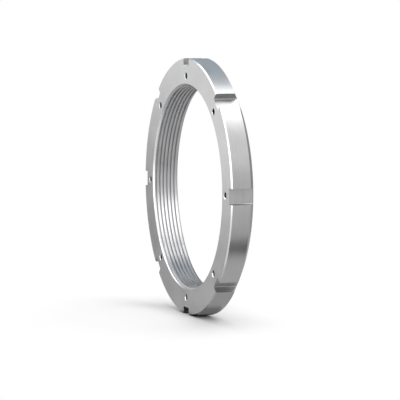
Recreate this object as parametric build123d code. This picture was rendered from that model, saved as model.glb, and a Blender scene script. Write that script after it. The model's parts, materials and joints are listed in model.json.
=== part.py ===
from build123d import *
import math
import os

# A large bearing lock nut, turned from one steel ring and slotted for a hook spanner.
# Millimetres. The nut stands on its rim: thread axis along Y, +Z up, origin on the
# axis at half width. The front face looks to -Y. The back face, at +Y, has the wide
# chamfer and is the one that presses on the bearing.

# Thread: metric trapezoidal, one start, right hand
thread_diameter = 320.0
thread_pitch = 6.0
thread_flank_angle = 30.0
thread_root_clearance = 0.25
thread_start_angle = 220.0
bore_chamfer_clearance = 0.25

# Ring
width = 42.0
ring_wall = 40.0
front_edge_chamfer = 2.0
bearing_chamfer_depth = 20.0
bearing_chamfer_angle = 30.0

# Spanner slots
slot_count = 8
slot_width = 24.0
slot_depth = 12.0

# Blind tapped holes for a locking clip, one under each slot, at tapping drill size
clip_hole_diameter = 8.5
clip_hole_offset = 12.5
clip_hole_depth = 25.0
clip_hole_point_angle = 118.0
clip_countersink_diameter = 11.5

# How far a cutter starts outside the metal
cutter_reach = 1.0

# Worked out from the sizes above
front = -width / 2
back = width / 2
rim_radius = thread_diameter / 2 + ring_wall
pitch_radius = (thread_diameter - thread_pitch / 2) / 2
crest_radius = (thread_diameter - thread_pitch) / 2
root_radius = thread_diameter / 2 + thread_root_clearance
bore_chamfer_radius = root_radius + bore_chamfer_clearance
bore_chamfer_width = bore_chamfer_radius - crest_radius
bearing_face_radius = rim_radius - bearing_chamfer_depth
bearing_chamfer_width = bearing_chamfer_depth * math.tan(math.radians(bearing_chamfer_angle))
slot_floor_radius = rim_radius - slot_depth
slot_step = 360.0 / slot_count
clip_hole_radius = clip_hole_diameter / 2
clip_countersink_radius = clip_countersink_diameter / 2
clip_circle_radius = thread_diameter / 2 + clip_hole_offset


def ring_section():
    """Half section of the ring, radius along X and width along Y."""
    outline = Polyline(
        (bore_chamfer_radius, front),
        (rim_radius - front_edge_chamfer, front),
        (rim_radius, front + front_edge_chamfer),
        (rim_radius, back - bearing_chamfer_width),
        (bearing_face_radius, back),
        (bore_chamfer_radius, back),
        (crest_radius, back - bore_chamfer_width),
        (crest_radius, front + bore_chamfer_width),
        close=True,
    )
    return make_face(outline)


def turned_ring():
    """The ring before threading, as four quarters that meet midway between a slot and the next."""
    quarter = Rot(0, slot_step / 2, 0) * revolve(ring_section(), axis=Axis.Y, revolution_arc=90)
    others = [Rot(0, turn, 0) * quarter for turn in (90, 180, 270)]
    return quarter.fuse(*others)


def groove_half_width(radius):
    """Half the axial width of the thread groove, which is half a pitch wide at the pitch radius."""
    return thread_pitch / 4 - (radius - pitch_radius) * math.tan(math.radians(thread_flank_angle / 2))


def groove_turn():
    """One turn of the thread groove, starting at half width on top of the bore."""
    mouth_radius = crest_radius - cutter_reach
    mouth = groove_half_width(mouth_radius)
    root = groove_half_width(root_radius)
    outline = Polyline(
        (0, -mouth, mouth_radius),
        (0, -root, root_radius),
        (0, root, root_radius),
        (0, mouth, mouth_radius),
        close=True,
    )
    turn = Helix(thread_pitch, thread_pitch, pitch_radius, direction=(0, 1, 0))
    return Rot(0, thread_start_angle, 0) * sweep(make_face(outline), path=turn, is_frenet=True)


def thread_groove():
    """The whole groove as turns end to end, running out past both faces."""
    turn = groove_turn()
    turns_each_way = math.ceil(width / 2 / thread_pitch) + 1
    return [Pos(0, thread_pitch * number, 0) * turn for number in range(-turns_each_way, turns_each_way)]


def slot_cutter():
    """The top slot's cutter, through the full width."""
    height = slot_depth + cutter_reach
    return Pos(0, 0, slot_floor_radius + height / 2) * Box(slot_width, width + 2 * cutter_reach, height)


def clip_hole_cutter():
    """The top clip hole's cutter: countersink, straight wall and drill point."""
    countersink_depth = clip_countersink_radius - clip_hole_radius
    point_depth = clip_hole_radius / math.tan(math.radians(clip_hole_point_angle / 2))
    outline = Polyline(
        (0, front - cutter_reach),
        (clip_countersink_radius, front - cutter_reach),
        (clip_countersink_radius, front),
        (clip_hole_radius, front + countersink_depth),
        (clip_hole_radius, front + clip_hole_depth),
        (0, front + clip_hole_depth + point_depth),
        close=True,
    )
    return Pos(0, 0, clip_circle_radius) * revolve(make_face(outline), axis=Axis.Y)


def round_the_nut(cutter):
    """Copies of a cutter at every slot, starting on top."""
    return [Rot(0, slot_step * number, 0) * cutter for number in range(slot_count)]


def lock_nut():
    nut = turned_ring().cut(*thread_groove())
    nut = nut.cut(*round_the_nut(slot_cutter()), *round_the_nut(clip_hole_cutter()))
    return nut


os.makedirs("parts", exist_ok=True)
export_step(lock_nut(), "parts/lock_nut.step")
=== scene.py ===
import json
import math
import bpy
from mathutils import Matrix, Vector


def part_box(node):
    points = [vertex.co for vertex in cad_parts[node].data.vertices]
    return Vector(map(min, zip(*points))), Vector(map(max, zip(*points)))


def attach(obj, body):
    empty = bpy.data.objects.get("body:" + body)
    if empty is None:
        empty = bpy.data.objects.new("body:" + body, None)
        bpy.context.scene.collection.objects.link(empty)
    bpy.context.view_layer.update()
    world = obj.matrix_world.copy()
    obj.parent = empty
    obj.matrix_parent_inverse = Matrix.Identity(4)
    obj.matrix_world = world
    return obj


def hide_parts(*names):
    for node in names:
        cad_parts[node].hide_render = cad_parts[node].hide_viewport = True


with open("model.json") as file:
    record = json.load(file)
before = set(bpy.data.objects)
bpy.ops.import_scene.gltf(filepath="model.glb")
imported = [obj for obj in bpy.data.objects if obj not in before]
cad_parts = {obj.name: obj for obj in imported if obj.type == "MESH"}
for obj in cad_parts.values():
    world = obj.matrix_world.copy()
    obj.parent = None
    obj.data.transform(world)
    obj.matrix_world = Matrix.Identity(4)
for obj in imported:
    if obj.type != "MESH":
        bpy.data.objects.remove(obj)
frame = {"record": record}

from types import SimpleNamespace

import bmesh
import bpy
from bpy.props import FloatProperty, FloatVectorProperty, IntProperty, PointerProperty
from mathutils import Matrix, Vector

# A bearing lock nut: one turned steel ring, threaded through, slotted for a hook spanner and drilled for a
# locking clip. It stands on its rim, with its thread axis along Y and its front face to -Y.

bl_info = {
    "name": "Bearing lock nut",
    "version": (1, 0, 0),
    "blender": (4, 5, 0),
    "location": "3D View > Sidebar > Lock nut",
    "description": "Models a large slotted bearing lock nut and a plain studio round it",
    "category": "Object",
}

MM = 0.001
AXIS = Vector((0, 1, 0))
NODE = "lock_nut"
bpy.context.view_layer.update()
LOW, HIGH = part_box(NODE)
MOUNTS = {mount["name"]: mount for mount in frame["record"]["mounts"]}

# Places of the coordinates in a vertex
X, Y, Z = range(3)

# Faces are grouped by how the surface was cut, which is also the order of the nut's material slots
TURNED, CHAMFER, MILLED, WALL, THREAD, HOLE, EDGE = range(7)

# In millimetres. Vertices within SAME of each other are one. Those within NEAR of a plane or a cone lie on
# it, and a face whose middle is CLEAR beyond a plane is past it
SAME = 0.001
NEAR = 0.01
CLEAR = 0.1

# In radians. Faces that meet at less than FLAT_ANGLE are parts of one plane, and merge at no more than
# MERGE_ANGLE. Those that meet at less than SMOOTH_ANGLE shade as one curve. Those that meet at more than
# CUT_ANGLE are two cuts, and the edge between them is rounded
MERGE_ANGLE = 0.001
FLAT_ANGLE = 0.01
CUT_ANGLE = math.radians(15)
SMOOTH_ANGLE = math.radians(30)

# A face lies across the axis where more than this share of its normal is along the axis
ACROSS = 0.9999

# Faces with this many corners or more are flat ones: those of the nut's front and the slots' walls
FLAT_CORNERS = 12

# The camera's sensor in millimetres, and how far it sees in metres
SENSOR_WIDTH = 36.0
VIEW_END = 50.0

# Lamps, in metres: a name, a place, a point that it is aimed at, a width, a height, how bright its face is,
# where 1 is white, and the kind of light that it leaves out. Most of them only show in the steel
LAMPS = (
    ("overhead_light", (0.33, 0.5, 1.3), (0.33, 0.5, 0), 0.82, 1.0, 1.7, "diffuse"),
    ("right_light", (0.725, -1.9, 0.35), (0.725, 0, 0.35), 0.65, 1.5, 2.3, "diffuse"),
    ("high_light", (0, -1.9, 1.65), (0, 0, 1.65), 1.5, 0.9, 2.0, "diffuse"),
    ("side_light", (-0.94, -0.99, 1.17), (0.1, 0, 0.15), 1.1, 0.8, 1.6, "diffuse"),
    ("bore_light", (0.15, 0.13, 0.2), (-1, 0.13, 0.2), 0.12, 0.26, 1.6, "diffuse"),
    ("face_light", (-0.62, -0.57, 0.02), (1, -0.57, 0.02), 0.24, 0.18, 1.2, "diffuse"),
    ("top_light", (0, 0.75, 2.5), (0, 0, 0), 2.6, 2.6, 1.4, "glossy"),
)

# Heights of the cards that lie on the floor, so low that the steel's foot sees them too
FLOOR_CARD = LOW.z + 0.0001
SHADE_CARD = LOW.z + 0.0002

# Cards, in metres: a name, a corner, the two sides from it, and a colour. They glow in their colour and only
# the steel sees them, as painted reflections of the studio. Those on the floor are a painted reflection of
# the floor, darker than where the camera sees it
CARDS = (
    ("right_back_card", (1.2, -0.3, LOW.z), (0, 1.5, 0), (0, 0, 0.55), "#D6D6D6"),
    ("left_front_card", (-0.6, -0.285, -0.12), (0, 0.6, -0.36), (0, 0.18, 0.3), "#9E9E9E"),
    ("left_back_card", (-0.6, 0.1, LOW.z), (0, 1.5, 0), (0, 0, 0.6), "#8A8A8A"),
    ("left_upper_card", (-0.6, -0.2, 0.4), (0, 1.6, 0), (0.46, 0, 0.736), "#B3BFC9"),
    ("bore_card", (-0.06, 0.11, 0.34), (0.16, 0, 0), (0, 0.14, 0), "#B8B8B8"),
    ("floor_left_card", (-1.6, -0.8, FLOOR_CARD), (1.4, 0, 0), (0, 1.6, 0), "#B4B4B4"),
    ("floor_middle_card", (-0.2, -0.12, FLOOR_CARD), (0.26, 0, 0), (0, 0.92, 0), "#B8B8B8"),
    ("floor_right_card", (0.06, -0.12, FLOOR_CARD), (1.2, 0, 0), (0, 0.92, 0), "#CECECE"),
    # Painted contact shadow under the nut's foot, as the steel reflects it
    ("floor_painted_contact_shadow_card", (-0.04, -0.03, SHADE_CARD), (0.08, 0, 0), (0, 0.043, 0), "#141414"),
    # Painted shade on the floor near the foot, as the steel reflects it
    ("floor_near_card", (0.04, -0.07, SHADE_CARD), (0.035, 0, 0), (0, 0.086, 0), "#787878"),
    ("floor_shade_card", (0.075, -0.1, SHADE_CARD), (0.065, 0, 0), (0, 0.2, 0), "#B0B0B0"),
    # Painted dark band in the steel's reflection of the floor beside the nut
    ("floor_dark_card", (0.25, -0.2, SHADE_CARD), (0.075, 0, 0), (0, 0.5, 0), "#3F3F3F"),
)


class NutSizes(bpy.types.PropertyGroup):
    """Sizes of the nut"""

    thread_diameter: FloatProperty(
        name="Thread diameter", description="Nominal diameter of the shaft's thread",
        default=0.320, unit="LENGTH",
    )
    thread_crest: FloatProperty(
        name="Thread crest radius", description="Radius of the bore over the thread's crests",
        default=MOUNTS["thread"]["dims"]["r_mm"] * MM, unit="LENGTH",
    )
    thread_pitch: FloatProperty(
        name="Thread pitch", description="Advance of the thread in one turn", default=0.006, unit="LENGTH",
    )
    thread_flank: FloatProperty(
        name="Thread angle", description="Angle between the two flanks of a groove",
        default=math.radians(30), subtype="ANGLE",
    )
    thread_root: FloatProperty(
        name="Root clearance", description="How far the groove goes past the nominal radius",
        default=0.00025, unit="LENGTH",
    )
    thread_start: FloatProperty(
        name="Thread start", description="Turn of the thread about its axis",
        default=math.radians(220), subtype="ANGLE",
    )
    bore_chamfer: FloatProperty(
        name="Bore chamfer clearance", description="How far the bore's chamfers go past the thread's root",
        default=0.00025, unit="LENGTH",
    )
    ring_wall: FloatProperty(
        name="Ring wall", description="From the nominal thread radius to the rim", default=0.040,
        unit="LENGTH",
    )
    front_chamfer: FloatProperty(
        name="Front chamfer", description="Chamfer on the rim's front edge", default=0.002, unit="LENGTH",
    )
    bearing_chamfer: FloatProperty(
        name="Bearing side chamfer", description="Radial depth of the wide chamfer at the back",
        default=0.020, unit="LENGTH",
    )
    bearing_angle: FloatProperty(
        name="Bearing side angle", description="Slope of the wide chamfer, from the back face",
        default=math.radians(30), subtype="ANGLE",
    )
    slot_width: FloatProperty(
        name="Slot width", description="Width of a spanner slot", default=0.024, unit="LENGTH",
    )
    slot_depth: FloatProperty(
        name="Slot depth", description="Depth of a spanner slot", default=0.012, unit="LENGTH",
    )
    slot_fillet: FloatProperty(
        name="Slot fillet", description="Radius in the corners of a slot's floor", default=0.0015,
        unit="LENGTH",
    )
    edge_break: FloatProperty(
        name="Edge break", description="Width taken off each outer edge", default=0.00008, unit="LENGTH",
    )
    hole_pitch: FloatProperty(
        name="Clip hole pitch", description="Pitch of the thread in a clip hole", default=0.0015,
        unit="LENGTH",
    )
    hole_root: FloatProperty(
        name="Clip hole root radius", description="Radius at the bottom of a clip hole's thread",
        default=0.005, unit="LENGTH",
    )
    hole_flank: FloatProperty(
        name="Clip hole thread angle", description="Angle between the flanks of a clip hole's thread",
        default=math.radians(60), subtype="ANGLE",
    )
    hole_point: FloatProperty(
        name="Drill point angle", description="Angle of the cone at the bottom of a clip hole",
        default=math.radians(118), subtype="ANGLE",
    )
    hole_countersink: FloatProperty(
        name="Countersink radius", description="Radius of a clip hole's countersink at the face",
        default=0.00575, unit="LENGTH",
    )
    hole_depth: FloatProperty(
        name="Clip hole depth", description="Depth of a clip hole to its drill point", default=0.025,
        unit="LENGTH",
    )
    hole_unthreaded: FloatProperty(
        name="Clip hole plain end", description="Length at the bottom of a clip hole that isn't threaded",
        default=0.003, unit="LENGTH",
    )
    sector_steps: IntProperty(
        name="Steps between slots", description="Facets from one slot to the next", default=44,
    )
    thread_steps: IntProperty(
        name="Steps in a turn", description="Facets in one turn of the thread", default=288,
    )
    thread_strips: IntProperty(
        name="Strips on a flank", description="Strips across each flank, root and half crest of the thread",
        default=4,
    )
    hole_steps: IntProperty(
        name="Steps in a clip hole", description="Facets in one turn of a clip hole's thread", default=36,
    )
    fillet_steps: IntProperty(
        name="Steps in a fillet", description="Facets across the fillet in a slot's corner", default=4,
    )
    edge_steps: IntProperty(
        name="Steps in an edge", description="Facets across a broken edge", default=3,
    )


def own_properties(group):
    """Names of a group's properties, without the two that every group has."""
    return [name for name in group.bl_rna.properties.keys() if name not in ("rna_type", "name")]


def millimetres(sizes):
    """The nut's lengths in millimetres and its angles in radians, with the sizes worked out from them."""
    s = SimpleNamespace()
    for name in own_properties(sizes):
        value = getattr(sizes, name)
        is_length = sizes.bl_rna.properties[name].unit == "LENGTH"
        setattr(s, name, value / MM if is_length else value)
    s.front = LOW.y / MM
    s.back = HIGH.y / MM
    s.rim = s.thread_diameter / 2 + s.ring_wall
    s.root = s.thread_diameter / 2 + s.thread_root
    s.bore_mouth = s.root + s.bore_chamfer
    s.bearing_face = s.rim - s.bearing_chamfer
    s.bearing_start = s.back - s.bearing_chamfer * math.tan(s.bearing_angle)
    s.slot_floor = s.rim - s.slot_depth
    s.slot_count = MOUNTS["clip_holes"]["dims"]["count"]
    s.hole_radius = MOUNTS["clip_holes"]["dims"]["hole_r_mm"]
    s.hole_circle = MOUNTS["clip_holes"]["dims"]["pcd_mm"] / 2
    s.sector = 2 * math.pi / s.slot_count
    # Circles on the two faces, clear of slots and holes, where the outer skin ends and the flat fill starts
    s.front_seam = (s.slot_floor + s.hole_circle + s.hole_countersink) / 2
    s.back_seam = (s.bearing_face + s.bore_mouth) / 2
    return s


def line_of(bm, points):
    """A chain of vertices through (radius, y) points, on top of the axis, and its edges."""
    verts = [bm.verts.new((0, y, radius)) for radius, y in points]
    edges = [bm.edges.new(pair) for pair in zip(verts, verts[1:])]
    return verts, edges


def everything(bm):
    """All that a mesh holds, for operators that work on the whole of it."""
    return bm.verts[:] + bm.edges[:] + bm.faces[:]


def each_once(items):
    """Those items without repeats, in a fixed order, which a set doesn't have."""
    return list(dict.fromkeys(items))


def with_edges_and_verts(faces):
    """Those faces with their edges and vertices."""
    return faces + each_once(e for f in faces for e in f.edges) + each_once(v for f in faces for v in f.verts)


def edges_in_plane(edges, axis, place):
    """Those edges that lie in the plane where that coordinate has that value."""
    return [e for e in edges if all(abs(v.co[axis] - place) < NEAR for v in e.verts)]


def open_edges(bm):
    """Edges on the rim of a surface, with a face on one side only."""
    return [e for e in bm.edges if len(e.link_faces) == 1]


def lies_across(face):
    """Whether a face lies across the axis, as the nut's front and back do."""
    return abs(face.normal.y) > ACROSS


def radius_of(point):
    """How far a point is from the nut's axis."""
    return math.hypot(point.x, point.z)


def in_fixed_order(bm):
    """Builds the mesh again from the same vertices and faces, sorted by place.

    Blender's spin lists them in another order each run, and a merge or a bevel then rounds otherwise.
    """
    verts = sorted(bm.verts, key=lambda v: v.co[:])
    rank = {v: number for number, v in enumerate(verts)}
    faces = sorted(([rank[v] for v in face.verts], face.material_index) for face in bm.faces)
    places = [v.co[:] for v in verts]
    bm.clear()
    verts = [bm.verts.new(place) for place in places]
    for corners, group in faces:
        bm.faces.new([verts[number] for number in corners]).material_index = group
    bm.normal_update()


def copy_round(bm, s):
    """Copies all that there is so far, which belongs to the top slot, to the other slots."""
    bmesh.ops.spin(
        bm, geom=everything(bm), axis=AXIS, angle=s.sector * (s.slot_count - 1), steps=s.slot_count - 1,
        use_duplicate=True,
    )
    in_fixed_order(bm)


def spin_section(bm, s):
    """The skin from the front seam over the rim to the back seam, from midway between slots to midway."""
    points = (
        (s.front_seam, s.front),
        (s.rim - s.front_chamfer, s.front),
        (s.rim, s.front + s.front_chamfer),
        (s.rim, s.bearing_start),
        (s.bearing_face, s.back),
        (s.back_seam, s.back),
    )
    verts, edges = line_of(bm, points)
    start = Matrix.Rotation(-s.sector / 2, 3, AXIS)
    bmesh.ops.rotate(bm, verts=verts, matrix=start)
    bmesh.ops.spin(
        bm, geom=verts + edges, axis=AXIS, angle=s.sector, steps=s.sector_steps, use_merge=False,
    )
    in_fixed_order(bm)


def cut_slot(bm, s):
    """Opens the spanner slot on top and gives it its two walls and its floor."""
    half = s.slot_width / 2
    for side in (-half, half):
        near = [f for f in bm.faces if abs(f.calc_center_median().x) < s.slot_width]
        geom = with_edges_and_verts(near)
        bmesh.ops.bisect_plane(bm, geom=geom, dist=SAME, plane_co=(side, 0, 0), plane_no=(1, 0, 0))
    geom = with_edges_and_verts([f for f in bm.faces if abs(f.calc_center_median().x) < half])
    bmesh.ops.bisect_plane(bm, geom=geom, dist=SAME, plane_co=(0, 0, s.slot_floor), plane_no=(0, 0, 1))
    gone = [
        f for f in bm.faces
        if abs(f.calc_center_median().x) < half and f.calc_center_median().z > s.slot_floor
    ]
    bmesh.ops.delete(bm, geom=gone, context="FACES")
    for side in (-half, half):
        corner = [
            v for v in bm.verts
            if abs(v.co.x - side) < NEAR and abs(v.co.z - s.slot_floor) < NEAR and v.is_boundary
        ]
        # The corner's edge, from front to back, has no face yet
        bmesh.ops.contextual_create(bm, geom=corner)
        wall = edges_in_plane([e for e in bm.edges if len(e.link_faces) < 2], X, side)
        bmesh.ops.edgeloop_fill(bm, edges=wall, mat_nr=WALL)
    floor = edges_in_plane(open_edges(bm), Z, s.slot_floor)
    bmesh.ops.edgeloop_fill(bm, edges=floor, mat_nr=MILLED)


def merge_front(bm, s):
    """The front face of a sector as one flat face."""
    edges = [
        e for e in edges_in_plane(bm.edges, Y, s.front)
        if e.is_manifold and e.calc_face_angle() < FLAT_ANGLE
    ]
    verts = each_once(v for e in edges for v in e.verts)
    bmesh.ops.dissolve_limit(
        bm, angle_limit=MERGE_ANGLE, use_dissolve_boundaries=False, verts=verts, edges=edges, delimit=set(),
    )


def sharp_edges(bm, concave):
    """Edges where two cut surfaces meet, those in a hollow or those that stand out."""
    return [
        e for e in bm.edges
        if e.is_manifold and e.calc_face_angle() > CUT_ANGLE and e.is_convex != concave
    ]


def round_edges(bm, edges, width, segments, group):
    """Bevels those edges to that width and puts the new faces in that group."""
    result = bmesh.ops.bevel(
        bm, geom=edges, offset=width, offset_type="OFFSET", affect="EDGES", segments=segments, profile=0.5,
        material=-1, clamp_overlap=False,
    )
    for face in result["faces"]:
        face.material_index = group


def outer_skin(bm, s):
    """Faces, chamfers, rim and slots, with every outer edge broken."""
    spin_section(bm, s)
    cut_slot(bm, s)
    merge_front(bm, s)
    bmesh.ops.recalc_face_normals(bm, faces=bm.faces)
    copy_round(bm, s)
    bmesh.ops.remove_doubles(bm, verts=bm.verts, dist=SAME)
    bmesh.ops.recalc_face_normals(bm, faces=bm.faces)
    for face in bm.faces:
        middle = face.calc_center_median()
        on_cone = middle.y > s.bearing_start + CLEAR and not lies_across(face)
        on_front_chamfer = s.front + CLEAR < middle.y < s.front + s.front_chamfer
        if face.material_index == TURNED and (on_cone or on_front_chamfer):
            face.material_index = CHAMFER
    round_edges(bm, sharp_edges(bm, True), s.slot_fillet, s.fillet_steps, MILLED)
    in_fixed_order(bm)
    round_edges(bm, sharp_edges(bm, False), s.edge_break, s.edge_steps, EDGE)
    in_fixed_order(bm)


def groove_points(crest, root, pitch, flank, diameter, strips=1):
    """(radius, y) through one pitch, from the middle of a crest to the next, with the groove in between.

    Each straight part of the groove's section is split into that many strips.
    """
    slope = math.tan(flank / 2)
    pitch_radius = (crest + diameter / 2) / 2
    mouth = pitch / 4 + (pitch_radius - crest) * slope
    bottom = pitch / 4 - (root - pitch_radius) * slope
    corners = (
        (crest, -pitch / 2), (crest, -mouth), (root, -bottom),
        (root, bottom), (crest, mouth), (crest, pitch / 2),
    )
    points = []
    for (r0, y0), (r1, y1) in zip(corners, corners[1:]):
        points += [(r0 + (r1 - r0) * k / strips, y0 + (y1 - y0) * k / strips) for k in range(strips)]
    return points


def thread_skin(bm, points, pitch, low, high, steps, start):
    """A helical surface from low to high: one pitch's points, repeated and spun with that advance a turn."""
    spare_turns = 2
    first = math.floor(low / pitch) - spare_turns
    last = math.ceil(high / pitch) + spare_turns
    chain = [(radius, y + pitch * turn) for turn in range(first, last) for radius, y in points]
    verts, edges = line_of(bm, chain)
    # The two ends of this spin lie a pitch apart, so it can't join them itself, and the merge after it does
    bmesh.ops.spin(
        bm, geom=verts + edges, axis=AXIS, angle=2 * math.pi, steps=steps, dvec=AXIS * pitch / steps,
        use_merge=False,
    )
    in_fixed_order(bm)
    bmesh.ops.remove_doubles(bm, verts=bm.verts, dist=SAME)
    bmesh.ops.rotate(bm, verts=bm.verts, matrix=Matrix.Rotation(start, 3, AXIS))
    for place, side in ((low, -1), (high, 1)):
        cut = bmesh.ops.bisect_plane(
            bm, geom=everything(bm), dist=NEAR, plane_co=(0, place, 0), plane_no=(0, side, 0),
            clear_outer=True,
        )
        for v in cut["geom_cut"]:
            if isinstance(v, bmesh.types.BMVert):
                v.co.y = place


def move_to_radius(vertex, radius):
    """Moves a vertex straight out or in to that distance from the axis."""
    now = radius_of(vertex.co)
    vertex.co.x *= radius / now
    vertex.co.z *= radius / now


def open_out_to_cone(bm, cone_at, inner_group):
    """Chamfers the mouth of a thread: what lies inside the cone moves out to it, into the chamfers' group.

    cone_at gives the cone's radius at a place along the axis. The other faces go into inner_group.
    """
    for v in bm.verts:
        move_to_radius(v, max(radius_of(v.co), cone_at(v.co.y)))
    bmesh.ops.remove_doubles(bm, verts=bm.verts, dist=NEAR)
    for face in bm.faces:
        on_cone = all(abs(radius_of(v.co) - cone_at(v.co.y)) < NEAR for v in face.verts)
        face.material_index = CHAMFER if on_cone else inner_group


def bore_skin(s):
    """The threaded bore with its two chamfers, as a mesh of its own."""
    bm = bmesh.new()
    points = groove_points(
        s.thread_crest, s.root, s.thread_pitch, s.thread_flank, s.thread_diameter, s.thread_strips,
    )
    thread_skin(bm, points, s.thread_pitch, s.front, s.back, s.thread_steps, s.thread_start)
    open_out_to_cone(bm, lambda y: s.bore_mouth - min(y - s.front, s.back - y), THREAD)
    return bm


def hole_skin(s):
    """The clip holes, as a mesh of their own: countersink, thread, plain end and drill point."""
    bm = bmesh.new()
    bottom = s.front + s.hole_depth - s.hole_unthreaded
    points = groove_points(s.hole_radius, s.hole_root, s.hole_pitch, s.hole_flank, 2 * s.hole_root)
    thread_skin(bm, points, s.hole_pitch, s.front, bottom, s.hole_steps, 0)
    # The thread fades out into the plain end over its last turn
    for v in bm.verts:
        left = min(1, (bottom - v.co.y) / s.hole_pitch)
        move_to_radius(v, s.hole_radius + (radius_of(v.co) - s.hole_radius) * left)
    open_out_to_cone(bm, lambda y: s.hole_countersink - (y - s.front), HOLE)
    end = edges_in_plane(open_edges(bm), Y, bottom)
    for advance in (s.hole_unthreaded, s.hole_radius / math.tan(s.hole_point / 2)):
        made = bmesh.ops.extrude_edge_only(bm, edges=end)["geom"]
        verts = [g for g in made if isinstance(g, bmesh.types.BMVert)]
        end = [g for g in made if isinstance(g, bmesh.types.BMEdge) and all(v in verts for v in g.verts)]
        bmesh.ops.translate(bm, verts=verts, vec=AXIS * advance)
        for face in {f for v in verts for f in v.link_faces}:
            face.material_index = HOLE
    tip = Vector((0, verts[0].co.y, 0))
    bmesh.ops.pointmerge(bm, verts=verts, merge_co=tip)
    bmesh.ops.translate(bm, verts=bm.verts, vec=(0, 0, s.hole_circle))
    copy_round(bm, s)
    return bm


def join_in(bm, other):
    """Adds another bmesh to this one."""
    mesh = bpy.data.meshes.new("joined")
    other.to_mesh(mesh)
    other.free()
    bm.from_mesh(mesh)
    bpy.data.meshes.remove(mesh)


def close_faces(bm, s):
    """Fills the flat part of both faces between the outer skin, the clip holes and the bore."""
    for place, outwards in ((s.front, -1), (s.back, 1)):
        rims = edges_in_plane(open_edges(bm), Y, place)
        bmesh.ops.triangle_fill(
            bm, edges=rims, use_beauty=True, use_dissolve=False, normal=AXIS * outwards,
        )


def mark_shading(bm):
    """Curved faces are smooth and flat ones flat, with a sharp line round each broken edge."""
    for face in bm.faces:
        face.smooth = not lies_across(face) and len(face.verts) < FLAT_CORNERS
    for edge in bm.edges:
        broken = [face.material_index == EDGE for face in edge.link_faces]
        edge.smooth = not edge.is_manifold or edge.calc_face_angle() < SMOOTH_ANGLE
        if any(broken) and not all(broken):
            edge.smooth = False


def nut_mesh(s):
    """The whole nut as one closed mesh, in metres."""
    bm = bmesh.new()
    outer_skin(bm, s)
    join_in(bm, bore_skin(s))
    join_in(bm, hole_skin(s))
    in_fixed_order(bm)
    close_faces(bm, s)
    in_fixed_order(bm)
    bmesh.ops.recalc_face_normals(bm, faces=bm.faces)
    mark_shading(bm)
    bmesh.ops.scale(bm, vec=(MM, MM, MM), verts=bm.verts)
    mesh = bpy.data.meshes.new("threaded_ring")
    bm.to_mesh(mesh)
    bm.free()
    return mesh


def linear(text):
    """An sRGB hex colour as linear red, green, blue and alpha."""
    values = [int(text[k:k + 2], 16) / 255 for k in (1, 3, 5)]
    return [v / 12.92 if v <= 0.04045 else ((v + 0.055) / 1.055) ** 2.4 for v in values] + [1.0]


class NutFinish(bpy.types.PropertyGroup):
    """Colours and roughness of the nut's cut steel"""

    turned_colour: FloatVectorProperty(
        name="Turned faces", description="Colour of the turned faces and rim", default=linear("#C6C6C7"),
        size=4, subtype="COLOR", min=0, max=1,
    )
    turned_roughness: FloatProperty(
        name="Turned roughness", description="Roughness of the turned faces and rim", default=0.33,
        subtype="FACTOR",
    )
    chamfer_colour: FloatVectorProperty(
        name="Chamfers", description="Colour of the chamfers", default=linear("#D2D3D4"),
        size=4, subtype="COLOR", min=0, max=1,
    )
    milled_colour: FloatVectorProperty(
        name="Slot floors", description="Colour of the slots' milled floors", default=linear("#C5C5C6"),
        size=4, subtype="COLOR", min=0, max=1,
    )
    # Darker than the slot floors: painted shade in the slots
    slot_wall_painted_shade_colour: FloatVectorProperty(
        name="Slot walls", description="Colour of the slots' walls", default=linear("#B2B2B3"),
        size=4, subtype="COLOR", min=0, max=1,
    )
    thread_colour: FloatVectorProperty(
        name="Thread", description="Colour of the thread in the bore", default=linear("#D2D2D3"),
        size=4, subtype="COLOR", min=0, max=1,
    )
    # Near black: painted shade inside the clip holes
    hole_painted_shade_colour: FloatVectorProperty(
        name="Tapped holes", description="Colour inside the clip holes", default=linear("#1E1E20"),
        size=4, subtype="COLOR", min=0, max=1,
    )
    edge_colour: FloatVectorProperty(
        name="Broken edges", description="Colour of the narrow broken edges", default=linear("#D2D3D4"),
        size=4, subtype="COLOR", min=0, max=1,
    )


class StudioSetting(bpy.types.PropertyGroup):
    """Camera, floor and light"""

    distance: FloatProperty(
        name="Camera distance", description="From the camera to the middle of the nut", default=3.413,
        unit="LENGTH",
    )
    azimuth: FloatProperty(
        name="Camera azimuth", description="Turn of the camera round the nut from straight in front",
        default=math.radians(70.108), subtype="ANGLE",
    )
    elevation: FloatProperty(
        name="Camera elevation", description="Height of the camera as an angle", default=math.radians(4.599),
        subtype="ANGLE",
    )
    pan: FloatProperty(
        name="Camera pan", description="Turn of the camera away from the nut's middle, to the left",
        default=math.radians(-0.0328), subtype="ANGLE",
    )
    tilt: FloatProperty(
        name="Camera tilt", description="Turn of the camera away from the nut's middle, upwards",
        default=math.radians(-0.3486), subtype="ANGLE",
    )
    focal_length: FloatProperty(
        name="Focal length", description="Focal length of the camera in millimetres", default=197.26,
    )
    floor_colour: FloatVectorProperty(
        name="Floor", description="Colour of the floor", default=linear("#FDFDFD"),
        size=4, subtype="COLOR", min=0, max=1,
    )
    floor_side: FloatProperty(
        name="Floor side", description="Length of the floor's sides", default=6.0, unit="LENGTH",
    )
    fade_start: FloatProperty(
        name="Fade start", description="Distance from the nut at which the floor starts to fade out",
        default=0.45, unit="LENGTH",
    )
    fade_end: FloatProperty(
        name="Fade end", description="Distance from the nut at which the floor has faded out", default=0.9,
        unit="LENGTH",
    )
    ambient: FloatProperty(
        name="Ambient light", description="Light from all round, where 1 is white", default=0.8,
    )


def add_node(tree, kind, settings=None, sockets=None):
    """Adds a node. A socket whose value is another node's socket gets a link, and else it gets the value."""
    node = tree.nodes.new(kind)
    for name, value in (settings or {}).items():
        setattr(node, name, value)
    for name, value in (sockets or {}).items():
        if isinstance(value, bpy.types.NodeSocket):
            tree.links.new(value, node.inputs[name])
        else:
            node.inputs[name].default_value = value
    return node


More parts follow.
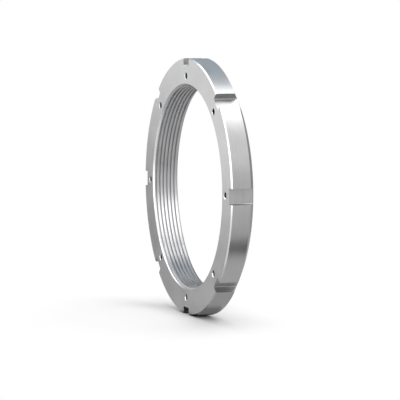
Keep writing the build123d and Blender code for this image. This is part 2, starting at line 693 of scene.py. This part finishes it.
def feed_marks(tree, along_axis):
    """Millimetres across the tool's marks, which are rings round the thread's axis.

    along_axis is how much of the place along the axis counts, so that rings show on the rim as on the faces.
    """
    place = add_node(tree, "ShaderNodeTexCoord").outputs["Object"]
    split = add_node(tree, "ShaderNodeSeparateXYZ", sockets={"Vector": place})
    across = add_node(
        tree, "ShaderNodeCombineXYZ", sockets={"X": split.outputs["X"], "Z": split.outputs["Z"]},
    )
    radius = add_node(
        tree, "ShaderNodeVectorMath", {"operation": "LENGTH"}, {0: across.outputs["Vector"]},
    )
    total = add_node(
        tree, "ShaderNodeMath", {"operation": "MULTIPLY_ADD"},
        {0: split.outputs["Y"], 1: along_axis, 2: radius.outputs["Value"]},
    )
    scaled = add_node(tree, "ShaderNodeMath", {"operation": "DIVIDE"}, {0: total.outputs["Value"], 1: MM})
    return place, scaled.outputs["Value"]


def cut_steel(name, colour, roughness, mark_width, mark_depth, along_axis, edge_tint=1.0):
    """Cut steel: rings left by the tool, in height and roughness, over slow changes of tone.

    mark_width and mark_depth are in millimetres. edge_tint is how much the steel gives back at a grazing
    angle, where 1 is all of the light.
    """
    # The width of the changes of tone in millimetres, and how far roughness goes up and down
    blotch_width = 35.0
    spread = 0.05
    material = bpy.data.materials.new(name)
    material.use_nodes = True
    tree = material.node_tree
    tree.nodes.clear()
    place, across = feed_marks(tree, along_axis)
    marks = add_node(
        tree, "ShaderNodeTexNoise", {"noise_dimensions": "1D"},
        {"W": across, "Scale": 1 / mark_width, "Detail": 3.0, "Roughness": 0.6},
    )
    blotches = add_node(
        tree, "ShaderNodeTexNoise", {"noise_dimensions": "3D"},
        {"Vector": place, "Scale": 1 / (blotch_width * MM), "Detail": 3.0, "Roughness": 0.55},
    )
    tone = add_node(
        tree, "ShaderNodeMapRange", sockets={
            "Value": blotches.outputs["Fac"], "From Min": 0.3, "From Max": 0.7,
            "To Min": 0.93, "To Max": 1.03,
        },
    )
    streak = add_node(
        tree, "ShaderNodeMapRange", sockets={
            "Value": marks.outputs["Fac"], "From Min": 0.25, "From Max": 0.75,
            "To Min": 0.95, "To Max": 1.05,
        },
    )
    shade = add_node(
        tree, "ShaderNodeMath", {"operation": "MULTIPLY"},
        {0: tone.outputs["Result"], 1: streak.outputs["Result"]},
    )
    tinted = add_node(
        tree, "ShaderNodeVectorMath", {"operation": "SCALE"},
        {0: colour[:3], "Scale": shade.outputs["Value"]},
    )
    both = add_node(
        tree, "ShaderNodeMath", {"operation": "ADD"},
        {0: blotches.outputs["Fac"], 1: marks.outputs["Fac"]},
    )
    rough = add_node(
        tree, "ShaderNodeMapRange", sockets={
            "Value": both.outputs["Value"], "From Min": 0.6, "From Max": 1.4,
            "To Min": roughness - spread, "To Max": roughness + spread,
        },
    )
    bump = add_node(
        tree, "ShaderNodeBump", sockets={
            "Height": marks.outputs["Fac"], "Strength": 1.0, "Distance": mark_depth * MM,
        },
    )
    shader = add_node(
        tree, "ShaderNodeBsdfPrincipled", sockets={
            "Base Color": tinted.outputs["Vector"], "Metallic": 1.0, "Roughness": rough.outputs["Result"],
            "Normal": bump.outputs["Normal"], "Specular Tint": (edge_tint, edge_tint, edge_tint, 1.0),
        },
    )
    add_node(tree, "ShaderNodeOutputMaterial", sockets={"Surface": shader.outputs["BSDF"]})
    return material


def nut_materials(finish):
    """The nut's materials, in the order of its groups of faces."""
    rough = finish.turned_roughness
    return (
        # Bright turned steel: the feed marks are 0.2 mm apart, and are drawn 1.2 mm apart so that they show
        cut_steel("turned_steel", finish.turned_colour, rough, 1.2, 0.006, 0.6),
        # Chamfers cut with a sharp tool: brighter and smoother than the faces
        cut_steel("fine_turned_steel", finish.chamfer_colour, rough - 0.06, 1.0, 0.003, 0.6),
        # Slot floors, milled by the teeth's tips: rougher than the rim, with lines along the cutter's way
        cut_steel("milled_steel", finish.milled_colour, rough + 0.06, 1.0, 0.006, 0.1),
        # Slot walls, rubbed by the cutter's sides: darker than the floors and with little grazing reflection,
        # as painted shade in the slots
        cut_steel("side_milled_painted_shade_steel", finish.slot_wall_painted_shade_colour, rough + 0.06, 1.0, 0.006, 0.1, edge_tint=0.08),
        # Thread cut with a form tool: as bright as the chamfers, with fine lines along the flanks
        cut_steel("threaded_steel", finish.thread_colour, rough - 0.02, 0.8, 0.003, 0.0),
        # Tapped hole: rough, and near black as painted shade inside the hole
        cut_steel("tapped_painted_shade_steel", finish.hole_painted_shade_colour, rough + 0.1, 0.5, 0.003, 0.3),
        # Edges broken with a file: bare bright steel
        cut_steel("filed_steel", finish.edge_colour, rough - 0.04, 3.0, 0.003, 0.3),
    )


class OBJECT_OT_lock_nut(bpy.types.Operator):
    """Model the lock nut in place of its plain solid"""

    bl_idname = "object.lock_nut"
    bl_label = "Lock nut"

    def execute(self, context):
        scene = context.scene
        mesh = nut_mesh(millimetres(scene.nut_sizes))
        for material in nut_materials(scene.nut_finish):
            mesh.materials.append(material)
        nut = bpy.data.objects.new("threaded_ring", mesh)
        scene.collection.objects.link(nut)
        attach(nut, "root")
        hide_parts(NODE)
        return {"FINISHED"}


def white_world(ambient):
    """A world that the camera and the steel see as white, and that lights the floor with ambient strength.

    What the floor gets by way of the steel is ambient too, as a ray that has left the floor isn't direct.
    """
    world = bpy.data.worlds.new("white_surround")
    world.use_nodes = True
    tree = world.node_tree
    tree.nodes.clear()
    path = add_node(tree, "ShaderNodeLightPath")
    seen = path.outputs["Is Camera Ray"]
    for kind in ("Is Glossy Ray", "Is Transmission Ray"):
        seen = add_node(
            tree, "ShaderNodeMath", {"operation": "MAXIMUM"}, {0: seen, 1: path.outputs[kind]},
        ).outputs["Value"]
    direct = add_node(
        tree, "ShaderNodeMath", {"operation": "SUBTRACT", "use_clamp": True},
        {0: seen, 1: path.outputs["Diffuse Depth"]},
    ).outputs["Value"]
    strength = add_node(
        tree, "ShaderNodeMapRange", sockets={"Value": direct, "To Min": ambient, "To Max": 1.0},
    )
    light = add_node(
        tree, "ShaderNodeBackground",
        sockets={"Color": (1.0, 1.0, 1.0, 1.0), "Strength": strength.outputs["Result"]},
    )
    add_node(tree, "ShaderNodeOutputWorld", sockets={"Surface": light.outputs["Background"]})
    return world


def floor_material(colour, near, far):
    """Matt white floor that fades into the white surround between two distances from the nut."""
    material = bpy.data.materials.new("matt_white_floor")
    material.use_nodes = True
    tree = material.node_tree
    tree.nodes.clear()
    place = add_node(tree, "ShaderNodeTexCoord").outputs["Object"]
    distance = add_node(tree, "ShaderNodeVectorMath", {"operation": "LENGTH"}, {0: place})
    fade = add_node(
        tree, "ShaderNodeMapRange", {"interpolation_type": "SMOOTHSTEP"},
        {"Value": distance.outputs["Value"], "From Min": near, "From Max": far},
    )
    matt = add_node(tree, "ShaderNodeBsdfDiffuse", sockets={"Color": colour})
    clear = add_node(tree, "ShaderNodeBsdfTransparent")
    mixed = add_node(
        tree, "ShaderNodeMixShader",
        sockets={0: fade.outputs["Result"], 1: matt.outputs["BSDF"], 2: clear.outputs["BSDF"]},
    )
    add_node(tree, "ShaderNodeOutputMaterial", sockets={"Surface": mixed.outputs["Shader"]})
    return material


def sheet_mesh(name, corner, along, up, material):
    """A flat sheet of that material, with one corner there and its two sides along those vectors."""
    corner, along, up = Vector(corner), Vector(along), Vector(up)
    facing = Matrix((along.normalized(), up.normalized(), along.cross(up).normalized())).transposed()
    bm = bmesh.new()
    bmesh.ops.create_grid(bm, x_segments=1, y_segments=1, size=1 / 2)
    bmesh.ops.scale(bm, vec=(along.length, up.length, 1), verts=bm.verts)
    bmesh.ops.rotate(bm, matrix=facing, verts=bm.verts)
    bmesh.ops.translate(bm, vec=corner + (along + up) / 2, verts=bm.verts)
    mesh = bpy.data.meshes.new(name)
    bm.to_mesh(mesh)
    bm.free()
    mesh.materials.append(material)
    return mesh


def add_floor(scene, studio):
    """The floor that the nut stands on, with its middle under the nut's."""
    side = studio.floor_side
    material = floor_material(studio.floor_colour, studio.fade_start, studio.fade_end)
    mesh = sheet_mesh("floor", (-side / 2, -side / 2, LOW.z), (side, 0, 0), (0, side, 0), material)
    floor = bpy.data.objects.new("floor", mesh)
    scene.collection.objects.link(floor)


def add_panel_light(scene, name, place, aim, width, height, level, left_out):
    """A soft rectangular light that the camera doesn't see.

    level is how bright its face is, where 1 is white, and left_out is the kind of ray that doesn't meet it.
    """
    lamp = bpy.data.lights.new(name, "AREA")
    lamp.shape = "RECTANGLE"
    lamp.size = width
    lamp.size_y = height
    lamp.energy = level * math.pi * width * height
    panel = bpy.data.objects.new(name, lamp)
    place = Vector(place)
    panel.location = place
    panel.rotation_euler = (Vector(aim) - place).to_track_quat("-Z", "Y").to_euler()
    panel.visible_camera = False
    setattr(panel, "visible_" + left_out, False)
    scene.collection.objects.link(panel)


def card_material(name, colour):
    """Card that glows in a plain colour whatever the light, for painted reflections, and gives no light
    itself.
    """
    material = bpy.data.materials.new(name)
    material.use_nodes = True
    material.cycles.emission_sampling = "NONE"
    tree = material.node_tree
    tree.nodes.clear()
    glow = add_node(tree, "ShaderNodeEmission", sockets={"Color": colour, "Strength": 1.0})
    add_node(tree, "ShaderNodeOutputMaterial", sockets={"Surface": glow.outputs["Emission"]})
    return material


def add_card(scene, name, corner, along, up, colour):
    """A grey card that glows as a painted reflection only the steel sees, with one corner there and its two
    sides along those vectors.
    """
    mesh = sheet_mesh(name, corner, along, up, card_material(name, linear(colour)))
    card = bpy.data.objects.new(name, mesh)
    for ray in ("camera", "diffuse", "transmission", "volume_scatter", "shadow"):
        setattr(card, "visible_" + ray, False)
    scene.collection.objects.link(card)


def add_camera(scene, studio):
    """The camera, aimed at the nut's middle and then turned a little, as in the photograph."""
    turn, height = studio.azimuth, studio.elevation
    outwards = math.cos(height)
    away = Vector((math.sin(turn) * outwards, -math.cos(turn) * outwards, math.sin(height)))
    aimed = (-away).to_track_quat("-Z", "Y").to_matrix()
    small = Matrix.Rotation(studio.pan, 3, "Y") @ Matrix.Rotation(studio.tilt, 3, "X")
    lens = bpy.data.cameras.new("camera")
    lens.lens = studio.focal_length
    lens.sensor_width = SENSOR_WIDTH
    lens.clip_end = VIEW_END
    camera = bpy.data.objects.new("camera", lens)
    camera.matrix_world = Matrix.Translation(away * studio.distance) @ (aimed @ small).to_4x4()
    scene.collection.objects.link(camera)
    scene.camera = camera


class SCENE_OT_lock_nut_studio(bpy.types.Operator):
    """Add the floor, the lights, the white surround and the camera"""

    bl_idname = "scene.lock_nut_studio"
    bl_label = "Studio"

    def execute(self, context):
        scene = context.scene
        studio = scene.nut_studio
        scene.view_settings.view_transform = "Standard"
        scene.world = white_world(studio.ambient)
        add_floor(scene, studio)
        for lamp in LAMPS:
            add_panel_light(scene, *lamp)
        for card in CARDS:
            add_card(scene, *card)
        add_camera(scene, studio)
        return {"FINISHED"}


class VIEW3D_PT_lock_nut(bpy.types.Panel):
    """The sidebar's panel with the nut's sizes and colours and the steps that build it"""

    bl_label = "Lock nut"
    bl_space_type = "VIEW_3D"
    bl_region_type = "UI"
    bl_category = "Lock nut"

    def draw(self, context):
        scene = context.scene
        layout = self.layout
        for operator in (OBJECT_OT_lock_nut, SCENE_OT_lock_nut_studio):
            layout.operator(operator.bl_idname)
        for group in (scene.nut_sizes, scene.nut_finish, scene.nut_studio):
            box = layout.box()
            for name in own_properties(group):
                box.prop(group, name)


CLASSES = (
    NutSizes, NutFinish, StudioSetting, OBJECT_OT_lock_nut, SCENE_OT_lock_nut_studio, VIEW3D_PT_lock_nut,
)


def register():
    for cls in CLASSES:
        bpy.utils.register_class(cls)
    bpy.types.Scene.nut_sizes = PointerProperty(type=NutSizes)
    bpy.types.Scene.nut_finish = PointerProperty(type=NutFinish)
    bpy.types.Scene.nut_studio = PointerProperty(type=StudioSetting)


def unregister():
    del bpy.types.Scene.nut_studio
    del bpy.types.Scene.nut_finish
    del bpy.types.Scene.nut_sizes
    for cls in reversed(CLASSES):
        bpy.utils.unregister_class(cls)


def main():
    register()
    bpy.ops.object.lock_nut()
    bpy.ops.scene.lock_nut_studio()


if __name__ == "__main__":
    main()
